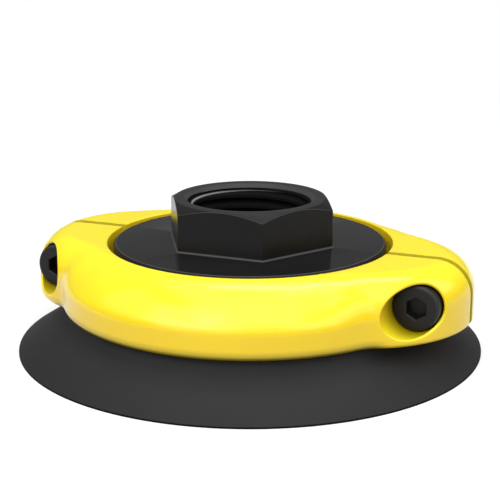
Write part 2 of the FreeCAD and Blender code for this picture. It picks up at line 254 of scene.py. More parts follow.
# Painted shade: the screw holes are darker deep inside.
hole_shade = (1.0 - off_screw.between(*HOLE_SHADE_RADII)) * along.between(*HOLE_SHADE_REACH)
hole_shade = hole_shade * (1.0 - along.between(*FRONT_END))
# Painted shade: the ring's foot is darker towards its lower edge.
foot = (1.0 - height.between(*FOOT_SHADE_HEIGHTS)) * (1.0 - radius.between(*FOOT_SHADE_RADII))
# Painted shade: the faces at the split are darker; they are also rougher.
off_split = (along.math("ABSOLUTE") - HALF_GAP).math("ABSOLUTE")
parting = 1.0 - off_split.between(*PARTING_WIDTH)
yellow_with_painted_light = flow.between(0.25, 0.75).mix(WALL_YELLOW, LATE_YELLOW)
# Painted light: faces that look up are paler and greener.
yellow_with_painted_light = facing_up(place).between(0.0, 0.7).mix(yellow_with_painted_light, TOP_LIGHT_YELLOW)
yellow_with_painted_light = foot.mix(hole_shade.mix(yellow_with_painted_light, HOLE_SHADE_YELLOW), FOOT_SHADE_YELLOW)
plug(shader.inputs["Base Color"], parting.mix(yellow_with_painted_light, PARTING_SHADE_YELLOW))
plug(shader.inputs["Roughness"], 0.16 + flow * 0.03 + speck * 0.02 + parting * 0.5)
plug(shader.inputs["Normal"], bump(peel * 0.9 + speck * 0.1, YELLOW_RELIEF))
print("made", yellow.name)

# %% [markdown]
# ## Black fitting
# The fitting is turned aluminium, anodised black. Fine turning rings stay on the disk and on the
# hexagon's end, and the flats are milled and duller. The rounded edges are paler, partly as thin
# anodising, and on the disk's top edge as a painted highlight that draws a light line. The mesh
# will carry an `edge` attribute that is 1 on those rounds. The bore is painted matt black, as
# painted shade, and its lead-in and the first turn of the thread are painted paler, as painted
# highlights.

# %% Fitting finish
BORE_WALL, LEAD_IN_LEVELS = (10.65, 10.75), (23.95, 24.05)
FIRST_TURN_FOOT, FIRST_TURN_TOP = (23.36, 23.42), (23.54, 23.60)
ANODISED_DARK, ANODISED_PALE = (0.0080, 0.0076, 0.0077, 1), (0.0100, 0.0094, 0.0096, 1)
LEAD_IN_HIGHLIGHT_GREY, EDGE_WEAR_AND_HIGHLIGHT_GREY = (0.045, 0.045, 0.045, 1), (0.080, 0.077, 0.074, 1)
BORE_SHADE_BLACK, FIRST_TURN_HIGHLIGHT_GREY = (0.008, 0.008, 0.008, 1), (0.18, 0.18, 0.18, 1)
TURNING_LINES, ANODISED_RELIEF = 26.0, 0.0006


def edge_mark(place):
    """The mesh's own mark, 1 on the rounds of its edges."""
    return place.node("ShaderNodeAttribute", {"attribute_name": "edge"}, output=2)


anodised, place, shader = new_finish("black_fitting", Specular_IOR_Level=0.13)
_, _, height, radius = axis_parts(place)
edge = edge_mark(place)
cloud = noise(place, 5.0, 4.0)
grain = noise(place, 0.08, 2.0)
upward = facing_up(place)
inside = 1.0 - radius.between(*BORE_WALL)
# Painted highlight: the lead-in cone is paler.
lead_in = inside * height.between(*LEAD_IN_LEVELS)
# Painted shade: below the lead-in the bore is matt black.
bore_shade = inside * (1.0 - height.between(*LEAD_IN_LEVELS))
# Painted highlight: the first turn of the thread is a paler ring in the bore.
first_turn_highlight = inside * height.between(*FIRST_TURN_FOOT)
first_turn_highlight = first_turn_highlight * (1.0 - height.between(*FIRST_TURN_TOP))
upright = 1.0 - upward.math("ABSOLUTE").between(0.1, 0.3)
turning = (radius * TURNING_LINES + cloud * 2.0).math("SINE") * 0.5 + 0.5
turning = turning * upward.between(0.7, 0.95)
sloping = upward.between(0.4, 0.7) * (1.0 - upward.between(0.9, 0.98))
# Paler edges: partly thin anodising on the rounds, and on the disk's top edge a painted highlight.
paler_edges = edge.between(0.3, 1.0) * (0.55 + cloud * 0.4)
body_colour = cloud.between(0.3, 0.7).mix(ANODISED_DARK, ANODISED_PALE)
body_colour = lead_in.mix(body_colour, LEAD_IN_HIGHLIGHT_GREY)
plug(shader.inputs["Base Color"], paler_edges.mix(body_colour, EDGE_WEAR_AND_HIGHLIGHT_GREY))
dulled = edge * 0.12 + sloping * 0.28 + upright * 0.14
plug(shader.inputs["Roughness"], 0.07 + cloud * 0.04 + turning * 0.02 + dulled)
plug(shader.inputs["Normal"], bump(turning * 0.4 + grain * 0.6, ANODISED_RELIEF))
add_matt_colour(anodised, shader, bore_shade, first_turn_highlight.mix(BORE_SHADE_BLACK, FIRST_TURN_HIGHLIGHT_GREY))
print("made", anodised.name)

# %% [markdown]
# ## Screws and inserts
# The screws are black oxide steel: dark, slightly oily, with a fine blasted grain and paler
# edges. The inserts are turned brass that shows only through the clamp's split.

# %% Steel and brass finishes
STEEL_BLACK, STEEL_WORN = (0.008, 0.0078, 0.0080, 1), (0.030, 0.029, 0.028, 1)
BRASS_BRIGHT, BRASS_STAINED = (0.70, 0.50, 0.19, 1), (0.58, 0.40, 0.15, 1)
BRASS_LINES, METAL_RELIEF = 40.0, 0.004

oxide, place, shader = new_finish("black_steel", Specular_IOR_Level=0.25)
film = noise(place, 1.4, 3.0)
grain = noise(place, 0.07, 2.0)
paler_edges = edge_mark(place) * (0.5 + film * 0.4)
plug(shader.inputs["Base Color"], paler_edges.mix(STEEL_BLACK, STEEL_WORN))
plug(shader.inputs["Roughness"], 0.40 + film * 0.12)
plug(shader.inputs["Normal"], bump(grain, METAL_RELIEF))

brass, place, shader = new_finish("insert_brass", Metallic=1.0)
_, along, _, _ = axis_parts(place)
stain = noise(place, 2.0, 3.0)
turning = (along * BRASS_LINES).math("SINE") * 0.5 + 0.5
plug(shader.inputs["Base Color"], stain.mix(BRASS_BRIGHT, BRASS_STAINED))
plug(shader.inputs["Roughness"], 0.28 + stain * 0.15)
plug(shader.inputs["Normal"], bump(turning, METAL_RELIEF))
print("made", oxide.name, "and", brass.name)

# %% [markdown]
# ## Rounded outlines
# Real edges are never sharp, and it is their small rounds that catch the light. A corner list
# with a radius for each corner is the shortest way to say that. Every corner gets the same number
# of steps, so outlines of different sizes can be joined point by point.

# %% Corners turned by arcs
def unit(vector):
    return vector / np.linalg.norm(vector)


def rounded(corners, steps=5):
    """Points through corners (x, y, radius) of an open line, and a mark that is 1 in mid-arc."""
    points, on_arc = [], []
    for number, (x, y, radius) in enumerate(corners):
        here = np.array((x, y))
        if radius == 0:
            points.append(here)
            on_arc.append(0.0)
            continue
        back = unit(np.array(corners[number - 1][:2]) - here)
        ahead = unit(np.array(corners[number + 1][:2]) - here)
        half = math.acos(max(-1.0, min(1.0, back @ ahead))) / 2.0
        centre = here + unit(back + ahead) * radius / math.sin(half)
        start = here + back * radius / math.tan(half) - centre
        end = here + ahead * radius / math.tan(half) - centre
        first = math.atan2(start[1], start[0])
        sweep = (math.atan2(end[1], end[0]) - first + math.pi) % (2.0 * math.pi) - math.pi
        for step in range(steps + 1):
            angle = first + sweep * step / steps
            points.append(centre + radius * np.array((math.cos(angle), math.sin(angle))))
            on_arc.append(math.sin(math.pi * step / steps))
    return np.array(points), np.array(on_arc)


print("a corner becomes", len(rounded([(0, 0, 0), (1, 0, 0.2), (1, 1, 0)])[0]) - 2, "points")

# %% [markdown]
# ## Skins
# A turned or lofted shape is a row of rings with the same number of points. One function joins
# neighbouring rings with quads, and another makes the object: it merges the poles, turns the
# faces outwards and keeps the edges sharp that turn by more than a given angle.

# %% From rings to an object
SHARP = 32.0
MERGE = 1e-4


def skin(rings, closed_row, closed_rings):
    """Quads between neighbouring rings, as numbers of the points in reading order."""
    number = np.arange(rings.shape[0] * rings.shape[1]).reshape(rings.shape[:2])
    ahead = np.roll(number, -1, axis=0)
    if not closed_row:
        number, ahead = number[:-1], ahead[:-1]
    quads = np.stack([number, np.roll(number, -1, 1), np.roll(ahead, -1, 1), ahead], axis=-1)
    if not closed_rings:
        quads = quads[:, :-1]
    return quads.reshape(-1, 4).tolist()


def smooth(mesh, sharp=SHARP):
    """Smooth shading, but for edges that turn by more than an angle in degrees."""
    mesh.polygons.foreach_set("use_smooth", [True] * len(mesh.polygons))
    mesh.set_sharp_from_angle(angle=math.radians(sharp))


def new_piece(name, points, faces, finish=None, edge=None):
    """An object at the origin, from points in millimetres."""
    mesh = bpy.data.meshes.new(name)
    mesh.from_pydata((np.asarray(points).reshape(-1, 3) * MM).tolist(), [], faces)
    if edge is not None:
        mesh.attributes.new("edge", "FLOAT", "POINT").data.foreach_set("value", np.ravel(edge))
    build = bmesh.new()
    build.from_mesh(mesh)
    bmesh.ops.remove_doubles(build, verts=build.verts, dist=MERGE * MM)
    bmesh.ops.recalc_face_normals(build, faces=build.faces)
    build.to_mesh(mesh)
    build.free()
    piece = bpy.data.objects.new(name, mesh)
    bpy.context.scene.collection.objects.link(piece)
    if finish:
        mesh.materials.append(finish)
    smooth(mesh)
    return piece


def evaluated_mesh(piece):
    """The piece's mesh with its modifiers worked in."""
    graph = bpy.context.evaluated_depsgraph_get()
    return bpy.data.meshes.new_from_object(piece.evaluated_get(graph))


def seat(piece, node):
    """Put a finished piece in the place of its solid."""
    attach(piece, "root")
    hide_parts(node)
    triangles = sum(len(face.vertices) - 2 for face in piece.data.polygons)
    print(piece.name, "has", triangles, "triangles")


print("two rings of four points make", len(skin(np.zeros((2, 4, 3)), False, True)), "faces")

# %% [markdown]
# ## Geometry trees
# Some shapes follow a rule: the cup is one outline turned about an axis with ribs at even angles,
# and the screws are one screw set down twice. Geometry Nodes say such rules well. Each tree is
# built here, its sizes are named inputs, and the result is turned into a plain mesh.

# %% Building and running a tree
SOCKETS = {
    "Geometry": "NodeSocketGeometry",
    "Steps": "NodeSocketInt",
    "Count": "NodeSocketInt",
    "Path radius": "NodeSocketFloat",
    "Spacing": "NodeSocketFloat",
    "Rib": "NodeSocketObject",
    "Finish": "NodeSocketMaterial",
}


def new_tree(name, inputs):
    """An empty geometry tree with named inputs, as wires by name."""
    tree = bpy.data.node_groups.new(name, "GeometryNodeTree")
    for label in inputs:
        tree.interface.new_socket(label, in_out="INPUT", socket_type=SOCKETS[label])
    tree.interface.new_socket("Geometry", in_out="OUTPUT", socket_type="NodeSocketGeometry")
    source = tree.nodes.new("NodeGroupInput")
    return tree, {label: Wire(source.outputs[label]) for label in inputs}


def close_tree(tree, shape, finish):
    """End a tree with real geometry and its finish."""
    real = shape.node("GeometryNodeRealizeInstances", {}, {"Geometry": shape})
    painted = real.node("GeometryNodeSetMaterial", {}, {"Geometry": real, "Material": finish})
    plug(tree.nodes.new("NodeGroupOutput").inputs["Geometry"], painted)


def run_tree(piece, tree, sharp=SHARP, **values):
    """Work a tree into a piece's mesh, with its inputs set by identifier."""
    modifier = piece.modifiers.new(tree.name, "NODES")
    modifier.node_group = tree
    for item in tree.interface.items_tree:
        label = item.name.replace(" ", "_")
        if item.in_out == "INPUT" and label in values:
            modifier[item.identifier] = values[label]
    mesh = evaluated_mesh(piece)
    piece.modifiers.remove(modifier)
    piece.data = mesh
    smooth(mesh, sharp)


print("inputs known:", ", ".join(SOCKETS))

# %% [markdown]
# ## The rubber cup
# The cup's wall is one outline turned once: a thin sealing lip, a straight cone, a shoulder under
# the clamp, and a neck whose inner bead sits in the fitting's groove. Underneath, ribs keep the
# sheet from being sucked into the hollow. The outline is a closed loop of edges. The tree sweeps
# it along a circle, sets a rib at each angle and joins all of it into one skin, because it is one
# moulding.

# %% Cup outline and one rib
CUP_CORNERS = [
    (30.0, 3.475, 0), (37.3, 0, 0.5), (38.5, 0, 0.06), (38.5, 0.3, 0.14), (27.8, 7.1, 0.5),
    (22.5, 7.1, 0), (22.5, 14.0, 0.2), (18.0, 14.0, 0), (18.0, 9.0, 0), (20.5, 9.0, 0),
    (20.5, 4.9, 0.5), (27.0, 4.9, 0.9), (30.0, 3.475, 0),
]
CUP_STEPS, CORNER_STEPS, CUP_SHARP = 288, 6, 30.0
PATH_RADIUS = 28.0
RIB_CORNERS = [(22.2, 1.2), (33.0, 1.2), (33.0, 2.5), (27.0, 5.6), (22.2, 5.6)]
RIB_COUNT, RIB_WIDTH, RIB_ROUND = 12, 2.4, 0.35

line, _ = rounded(CUP_CORNERS, CORNER_STEPS)
line = line[:-1]
outline_points = [(r - PATH_RADIUS, -z, 0.0) for r, z in line]
cup = new_piece("cup", outline_points, [])
cup.data.edges.add(len(line))
cup.data.edges.foreach_set(
    "vertices", np.ravel([(number, (number + 1) % len(line)) for number in range(len(line))]))

sides = [[(x, way * RIB_WIDTH / 2.0, z) for x, z in RIB_CORNERS] for way in (-1.0, 1.0)]
corner_count = len(RIB_CORNERS)
rib_faces = skin(np.array(sides), False, True)
rib_faces += [list(range(corner_count)), list(range(corner_count, 2 * corner_count))]
rib = new_piece("rib", sides, rib_faces)
shape = bmesh.new()
shape.from_mesh(rib.data)
bmesh.ops.bevel(
    shape, geom=shape.edges[:], offset=RIB_ROUND * MM, segments=3, profile=0.5, affect="EDGES")
shape.to_mesh(rib.data)
shape.free()
print("outline of", len(line), "points, rib of", len(rib.data.polygons), "faces")

# %% Cup tree
tree, wire = new_tree("turned_cup", ["Geometry", "Steps", "Path radius", "Rib", "Count", "Finish"])
outline = wire["Geometry"].node("GeometryNodeMeshToCurve", {}, {"Mesh": wire["Geometry"]})
path = outline.node(
    "GeometryNodeCurvePrimitiveCircle", {"mode": "RADIUS"},
    {"Resolution": wire["Steps"], "Radius": wire["Path radius"]})
wall = path.node("GeometryNodeCurveToMesh", {}, {"Curve": path, "Profile Curve": outline})
centre = wall.node("GeometryNodePoints", {}, {"Count": wire["Count"]})
turn = wall.node("GeometryNodeInputIndex") * (2.0 * math.pi) / wire["Count"]
turned = turn.node("ShaderNodeCombineXYZ", {}, {"Z": turn})
one_rib = wall.node("GeometryNodeObjectInfo", {}, {"Object": wire["Rib"]}, output="Geometry")
ribs = centre.node(
    "GeometryNodeInstanceOnPoints", {},
    {"Points": centre, "Instance": one_rib, "Rotation": turned})
ribs = ribs.node("GeometryNodeRealizeInstances", {}, {"Geometry": ribs})
joined = wall.node(
    "GeometryNodeMeshBoolean", {"operation": "UNION", "solver": "EXACT"}, {"Mesh 2": wall})
plug(joined.socket.node.inputs["Mesh 2"], ribs)
close_tree(tree, joined, wire["Finish"])
run_tree(
    cup, tree, CUP_SHARP, Steps=CUP_STEPS, Path_radius=PATH_RADIUS * MM, Rib=rib,
    Count=RIB_COUNT, Finish=rubber)
bpy.data.objects.remove(rib)
seat(cup, "suction_cup")

# %% [markdown]
# ## The threaded fitting
# The fitting is a spool with a hexagon on top. A lathe outline won't do for the hexagon or for
# the thread, because both change as one goes round. So each direction round the axis gets its own
# outline: the hexagon's wall stands at its own distance there, and the thread's crests stand at
# their own height. With the same number of points in each, the outlines join into one closed
# skin.

# %% Directions round a hexagon
def hexagon_stations(flats, corner_round, flat_steps, corner_steps, first_corner):
    """Angles round a hexagon with rounded corners, and the distance of its wall at each."""
    stations = []
    apothem = flats / 2.0
    reach = (apothem - corner_round) / math.cos(math.pi / 6.0)
    for side in range(6):
        corner = math.radians(first_corner + 60.0 * side)
        points = []
        for step in range(corner_steps + 1):
            normal = corner + math.radians(60.0 * step / corner_steps - 30.0)
            x = reach * math.cos(corner) + corner_round * math.cos(normal)
            y = reach * math.sin(corner) + corner_round * math.sin(normal)
            points.append((x, y))
        turn = math.radians(60.0)
        next_x = points[0][0] * math.cos(turn) - points[0][1] * math.sin(turn)
        next_y = points[0][0] * math.sin(turn) + points[0][1] * math.cos(turn)
        for step in range(1, flat_steps):
            share = step / flat_steps
            points.append((
                points[corner_steps][0] * (1.0 - share) + next_x * share,
                points[corner_steps][1] * (1.0 - share) + next_y * share))
        stations += points
    return [(math.atan2(y, x), math.hypot(x, y)) for x, y in stations]


print("a hexagon in", len(hexagon_stations(25.0, 0.25, 30, 6, 0.0)), "directions")

# %% Thread wave
GROOVE_SHARE, STRAIGHT_SHARE = 0.7, 0.6


def thread_wave(turns):
    """A rounded saw tooth of a pipe thread, from 0 at the crest to 1 at the root, once a turn."""
    saw = max(0.0, 1.0 - abs(2.0 * (turns % 1.0) - 1.0) / GROOVE_SHARE)
    wave = 0.5 - 0.5 * math.cos(math.pi * saw)
    return STRAIGHT_SHARE * saw + (1.0 - STRAIGHT_SHARE) * wave


def eased(value, low, high):
    """0 below low, 1 above high and smooth between them."""
    share = min(1.0, max(0.0, (value - low) / (high - low)))
    return share * share * (3.0 - 2.0 * share)


print("a thread wave runs from", thread_wave(0.0), "to", thread_wave(0.5))

# %% Fitting
HEX_FLATS, HEX_TOP, DISK_TOP = 25.0, 24.7, 17.45
DISK_RADIUS, DISK_BOTTOM, DISK_CHAMFER = 22.5, 14.0, 0.35
DISK_RIM, DISK_HIGHLIGHT_BAND = 22.05, 0.06
FLANGE_RADIUS, FLANGE_BOTTOM, FLANGE_TOP, GROOVE_RADIUS = 20.5, 6.0, 9.0, 18.0
CHAMFER_START, CHAMFER_SLOPE = 12.35, math.tan(math.radians(30.0))
MOUTH_RADIUS, BORE_RADIUS, BORE_FLOOR = 10.75, 9.3155, 9.7
THREAD_PITCH, THREAD_DEPTH, THREAD_RISE, THREAD_STEPS = 1.814, 1.162, 0.3, 14
RUN_OUT = (BORE_FLOOR + 0.5, BORE_FLOOR + 2.2)
LEAD_IN, PASSAGE_RADIUS = 0.15, 7.0


def fitting_outline(angle, wall):
    """Radius, height and edge mark of the closed outline in one direction."""
    shoulder = HEX_TOP - (wall - CHAMFER_START) * CHAMFER_SLOPE
    points, on_arc = rounded([
        (PASSAGE_RADIUS, FLANGE_BOTTOM, 0), (FLANGE_RADIUS, FLANGE_BOTTOM, 0.15),
        (FLANGE_RADIUS, FLANGE_TOP, 0.1), (GROOVE_RADIUS, FLANGE_TOP, 0),
        (GROOVE_RADIUS, DISK_BOTTOM, 0), (DISK_RADIUS, DISK_BOTTOM, 0.1),
        (DISK_RADIUS, DISK_TOP - DISK_CHAMFER, 0.08), (DISK_RADIUS - DISK_CHAMFER, DISK_TOP, 0.25),
        (wall, DISK_TOP, 0.4), (wall, shoulder, 0.12), (CHAMFER_START, HEX_TOP, 0.15),
        (MOUTH_RADIUS, HEX_TOP, 0.1), (MOUTH_RADIUS - LEAD_IN, HEX_TOP - LEAD_IN, 0),
    ], steps=4)
    levels = np.arange(HEX_TOP - 2.0 * LEAD_IN, BORE_FLOOR, -THREAD_PITCH / THREAD_STEPS)
    bore = []
    for level in levels:
        depth = THREAD_DEPTH * eased(level, *RUN_OUT)
        turns = (level - THREAD_RISE) / THREAD_PITCH - angle / (2.0 * math.pi)
        lead_in = MOUTH_RADIUS - (HEX_TOP - level)
        bore.append((max(BORE_RADIUS + depth * thread_wave(turns), lead_in), level))
    passage_top = BORE_FLOOR - BORE_RADIUS + PASSAGE_RADIUS
    bore += [(BORE_RADIUS, BORE_FLOOR), (PASSAGE_RADIUS, passage_top)]
    # On the disk the mark is 1 only along a thin band at the top edge: a painted highlight, a light
    # line.
    on_disk = (points[:, 0] > DISK_RIM) & (points[:, 0] < DISK_RADIUS + 0.01)
    on_arc[on_disk] = 0.0
    on_arc[on_disk & (points[:, 1] > DISK_TOP - DISK_HIGHLIGHT_BAND)] = 1.0
    return np.vstack([points, bore]), np.concatenate([on_arc, np.zeros(len(bore))])


rings, marks = [], []
for angle, wall in hexagon_stations(
        HEX_FLATS, corner_round=0.25, flat_steps=30, corner_steps=6, first_corner=0.0):
    points, on_arc = fitting_outline(angle, wall)
    r, z = points.T
    rings.append(np.stack([r * math.cos(angle), r * math.sin(angle), z], axis=-1))
    marks.append(on_arc)
fitting = new_piece(
    "fitting", np.array(rings), skin(np.array(rings), True, True), anodised, np.array(marks))
seat(fitting, "threaded_fitting")

# %% [markdown]
# ## The clamp ring
# Seen from above, each half is a half ring that swells into an ear at both ends: the ear is a
# circle on the split line, and a hollow arc runs from it into the ring. One number says how far
# the outline has swollen, from 0 on the ring to 1 at the ear's end, and every size of the section
# is mixed by that number.

# %% Plan of the clamp
RING_RADIUS, EAR_REACH, EAR_RADIUS, EAR_BLEND = 31.0, 37.4, 18.2, 8.0
VALLEY_START, VALLEY_END, VALLEY_FILL = math.radians(22.0), math.radians(48.0), 0.14


def ear_share(angle):
    """How far the outline has gone from ring (0) to ear's end (1), by angle from the split."""
    centre, far = EAR_REACH - EAR_RADIUS, RING_RADIUS + EAR_BLEND
    cosine = (far**2 + centre**2 - (EAR_RADIUS + EAR_BLEND) ** 2) / (2.0 * far * centre)
    ring_end = math.acos(cosine)
    hollow = (far * math.cos(ring_end), far * math.sin(ring_end))
    pull = EAR_RADIUS / (EAR_RADIUS + EAR_BLEND)
    ear_end = math.atan2(hollow[1] * pull, centre + (hollow[0] - centre) * pull)
    if angle >= ring_end:
        reach = RING_RADIUS
    elif angle >= ear_end:
        off = ring_end - angle
        reach = far * math.cos(off) - math.sqrt(EAR_BLEND**2 - (far * math.sin(off)) ** 2)
    else:
        aside = centre * math.sin(angle)
        reach = centre * math.cos(angle) + math.sqrt(EAR_RADIUS**2 - aside**2)
    return (reach - RING_RADIUS) / (EAR_REACH - RING_RADIUS)


def fullness(angle):
    """The share that shapes the dome, with the valley's fill in it, and the fill alone."""
    way = (angle - VALLEY_START) / (VALLEY_END - VALLEY_START)
    fill = VALLEY_FILL * math.sin(math.pi * min(1.0, max(0.0, way))) ** 2
    return ear_share(abs(angle)) + fill, fill


print("the ring has a share of", ear_share(math.pi / 2.0), "and the ear", round(ear_share(0.0), 3))

# %% [markdown]
# ## The clamp's section
# On the ring a dome meets the wall in a soft crease, and on the ear the dome is a round that runs
# into the wall. Beside the ear the dome keeps a little of the ear's fullness, so that the valley
# there stays shallow, and each section is the mean of its neighbours over a few degrees, so that
# the reflections run on without a wave. A loft through many sections says exactly that. A sweep
# wouldn't, because it keeps one section all the way.

# %% Dome
CLAMP_TOP, RING_CREASE, EAR_ROUND = 17.55, 11.45, 5.5
RING_BULGE, QUARTER_BULGE = 0.11, (1.0 - math.sqrt(0.5)) * math.sqrt(0.5)
OPENING_RADIUS, RING_FLAT, DOME_GROWTH, VALLEY_SWELL = 23.5, 0.5, 1.5, 0.3
DOME_EASE, EASE_STEPS = math.radians(4.0), 9


def dome(angle):
    """Wall distance, crease height, flat's edge, and the dome's centre and radius."""
    nearby = angle + np.linspace(-DOME_EASE, DOME_EASE, EASE_STEPS)
    share, fill = np.mean([fullness(turn) for turn in nearby], axis=0)
    wall = RING_RADIUS + (EAR_REACH - RING_RADIUS) * ear_share(angle)
    crease = RING_CREASE + (CLAMP_TOP - EAR_ROUND - RING_CREASE) * share
    ring_flat = OPENING_RADIUS + RING_FLAT
    flat = ring_flat + (EAR_REACH - EAR_ROUND - ring_flat) * share
    round_share = 1.0 - (1.0 - share) ** DOME_GROWTH
    bulge = RING_BULGE + (QUARTER_BULGE - RING_BULGE) * round_share + VALLEY_SWELL * fill
    low, high = np.array((wall, crease)), np.array((flat, CLAMP_TOP))
    chord = np.linalg.norm(high - low)
    radius = chord * (1.0 / (8.0 * bulge) + bulge / 2.0)
    inward = np.array((low[1] - high[1], high[0] - low[0])) / chord
    centre = (low + high) / 2.0 + inward * math.sqrt(radius**2 - chord**2 / 4.0)
    return wall, crease, flat, centre, radius


radii = [round(float(dome(turn)[-1]), 1) for turn in (0.0, 0.5, 1.0, 1.5)]
print("dome radii from ear to ring", radii, "mm")

# %% Line over the dome
CREASE_ROUND, FLAT_ROUND, OPENING_ROUND = 3.0, 12.0, 0.2
FLAT_SPARE, ROUND_LIMIT, LEAST_TURN = 0.8, 0.9, 1e-6
ARC_POINTS, DOME_POINTS, DOME_STEPS, CROWDING = 30, 200, 48, 1.3


def arc(centre, radius, first, last, count):
    """Points of an arc between two angles."""
    return [centre + radius * np.array((math.cos(turn), math.sin(turn)))
            for turn in np.linspace(first, last, count)]


def dome_line(wall, flat, centre, radius):
    """Points from the wall over the crease and the dome to the flat, closest at the crease."""
    off = wall - CREASE_ROUND - centre[0]
    rise = math.sqrt(max(0.0, (radius - CREASE_ROUND) ** 2 - off**2))
    meet = math.atan2(rise, off)
    last = math.atan2(CLAMP_TOP - centre[1], flat - centre[0])
    spare = FLAT_SPARE * (flat - OPENING_RADIUS - OPENING_ROUND)
    turn_off = max(math.tan((math.pi / 2.0 - last) / 2.0), LEAST_TURN)
    top_round = min(FLAT_ROUND, ROUND_LIMIT * radius, spare / turn_off)
    high = CLAMP_TOP - top_round - centre[1]
    top_off = math.sqrt(max(0.0, (radius - top_round) ** 2 - high**2))
    leave = math.atan2(high, top_off)
    top = centre + (top_off, high)
    low = centre + (off, rise)
    line = arc(low, CREASE_ROUND, 0.0, meet, ARC_POINTS)
    line += arc(centre, radius, meet, leave, DOME_POINTS)[1:]
    line += arc(top, top_round, leave, math.pi / 2.0, ARC_POINTS)[1:]
    across, up = np.array(line).T
    step_lengths = np.linalg.norm(np.diff(np.array(line), axis=0), axis=1)
    length = np.concatenate([[0.0], np.cumsum(step_lengths)])
    wanted = np.linspace(0.0, 1.0, DOME_STEPS + 1) ** CROWDING * length[-1]
    return [(np.interp(way, length, across), np.interp(way, length, up)) for way in wanted]


print("a dome has", len(dome_line(*(dome(1.5)[way] for way in (0, 2, 3, 4)))), "points")

# %% Section
CLAMP_BOTTOM, FOOT_ROUND, NECK_RADIUS, LEDGE = 7.1, 0.8, 22.5, 13.5
FOOT_STEPS, OPENING_STEPS = 8, 5
WALL_PARTS, FLAT_PARTS = (0.3, 0.6, 0.8, 0.92), (0.2, 0.4, 0.6, 0.8)


def clamp_section(angle):
    """The closed section as radius and height, always with the same number of points."""
    wall, _, flat, centre, radius = dome(angle)
    over = dome_line(wall, flat, centre, radius)
    flat = over[-1][0]
    points = [(NECK_RADIUS, CLAMP_BOTTOM)]
    for step in range(FOOT_STEPS + 1):
        turn = math.radians(90.0 * step / FOOT_STEPS - 90.0)
        points.append((
            wall - FOOT_ROUND + FOOT_ROUND * math.cos(turn),
            CLAMP_BOTTOM + FOOT_ROUND + FOOT_ROUND * math.sin(turn)))
    foot = CLAMP_BOTTOM + FOOT_ROUND
    points += [(wall, foot + (over[0][1] - foot) * part) for part in WALL_PARTS]
    points += over
    inner = OPENING_RADIUS + OPENING_ROUND
    points += [(flat + (inner - flat) * part, CLAMP_TOP) for part in FLAT_PARTS]
    for step in range(OPENING_STEPS + 1):
        turn = math.radians(90.0 + 90.0 * step / OPENING_STEPS)
        points.append((
            inner + OPENING_ROUND * math.cos(turn),
            CLAMP_TOP - OPENING_ROUND + OPENING_ROUND * math.sin(turn)))
    points += [(OPENING_RADIUS, LEDGE), (NECK_RADIUS, LEDGE)]
    return np.array(points)


print("a section has", len(clamp_section(0.0)), "points")

# %% [markdown]
# The split faces are flat and square to the screws, so they don't lie on planes through the axis.
# The first sections therefore lie on planes at a set distance from the split, each a little
# smaller than the next to round the edge, and the following ones turn gradually into planes
# through the axis.

# %% Half rings
SPLIT_ROUND, SPLIT_STEPS, TURN_STEPS = 0.05, 5, 14
FIRST_RADIAL, FINE_STEP, FINE_END = 10.0, 0.7, 48.0
COARSE_START, COARSE_COUNT = 48.5, 31


def inset(section, distance):
    """The section moved in from its outline by a distance."""
    along = np.roll(section, -1, axis=0) - np.roll(section, 1, axis=0)
    along /= np.linalg.norm(along, axis=1)[:, None]
    return section + distance * np.stack([-along[:, 1], along[:, 0]], axis=-1)


def quarter_rings():
    """Rings of points from the split round to the middle of a half, on the +X side."""
    rings = []
    for step in range(SPLIT_STEPS + 1):
        angle = math.pi / 2.0 * step / SPLIT_STEPS
        y = HALF_GAP + SPLIT_ROUND * (1.0 - math.cos(angle))
        section = inset(clamp_section(y / EAR_REACH), SPLIT_ROUND * (1.0 - math.sin(angle)))
        rings.append((section, np.arcsin(y / section[:, 0])))
    split_end = math.asin((HALF_GAP + SPLIT_ROUND) / EAR_REACH)
    for step in range(1, TURN_STEPS + 1):
        share = step / TURN_STEPS
        outer = split_end * (1.0 - share) + math.radians(FIRST_RADIAL) * share
        section = clamp_section(outer)
        start = np.arcsin((HALF_GAP + SPLIT_ROUND) / section[:, 0])
        rings.append((section, start * (1.0 - share) + math.radians(FIRST_RADIAL) * share))
    fine = np.arange(FIRST_RADIAL + FINE_STEP, FINE_END, FINE_STEP)
    coarse = np.linspace(COARSE_START, 90.0, COARSE_COUNT)
    for degrees in np.concatenate([fine, coarse]):
        turn = math.radians(degrees)
        section = clamp_section(turn)
        rings.append((section, np.full(len(section), turn)))
    return np.array([
        np.stack([s[:, 0] * np.cos(t), s[:, 0] * np.sin(t), s[:, 1]], axis=-1) for s, t in rings])


def half_ring(name, side):
    """A half of the clamp behind the split (side 1) or before it (side -1), without its holes."""
    quarter = quarter_rings() * (1.0, side, 1.0)
    rings = np.concatenate([quarter, quarter[-2::-1] * (-1.0, 1.0, 1.0)])
    around = rings.shape[1]
    faces = skin(rings, False, True)
    last = rings.shape[0] * around
    faces += [list(range(around)), list(range(last - around, last))]
    return new_piece(name, rings, faces, yellow)


front, rear = half_ring("clamp_front", -1.0), half_ring("clamp_rear", 1.0)
print("half rings of", len(front.data.polygons), "faces")

# %% [markdown]
# ## Screw holes
# The counterbores run out through the ears' curved sides, so each mouth is a bent oval, and its
# edge is broken by a small round. A drill alone can't make that round. The cutter is therefore a
# tube that follows the surface: in each direction round the screw it climbs to the mouth, turns
# outwards on an arc that nearly touches the surface, and leaves it at a small angle so that the
# cut stays clean.

# %% Mouth that follows the surface
SCREW_SEAT, CUTTER_TOP = 6.1, 40.0
HOLE_RADIUS, COUNTERBORE_RADIUS, MOUTH_ROUND, MOUTH_STEPS = 2.25, 3.8, 0.3, 7
LEAVE_ANGLE, LEAVE_LENGTH = math.radians(12.0), 1.2
PROBE, HALVINGS = 0.1, 50


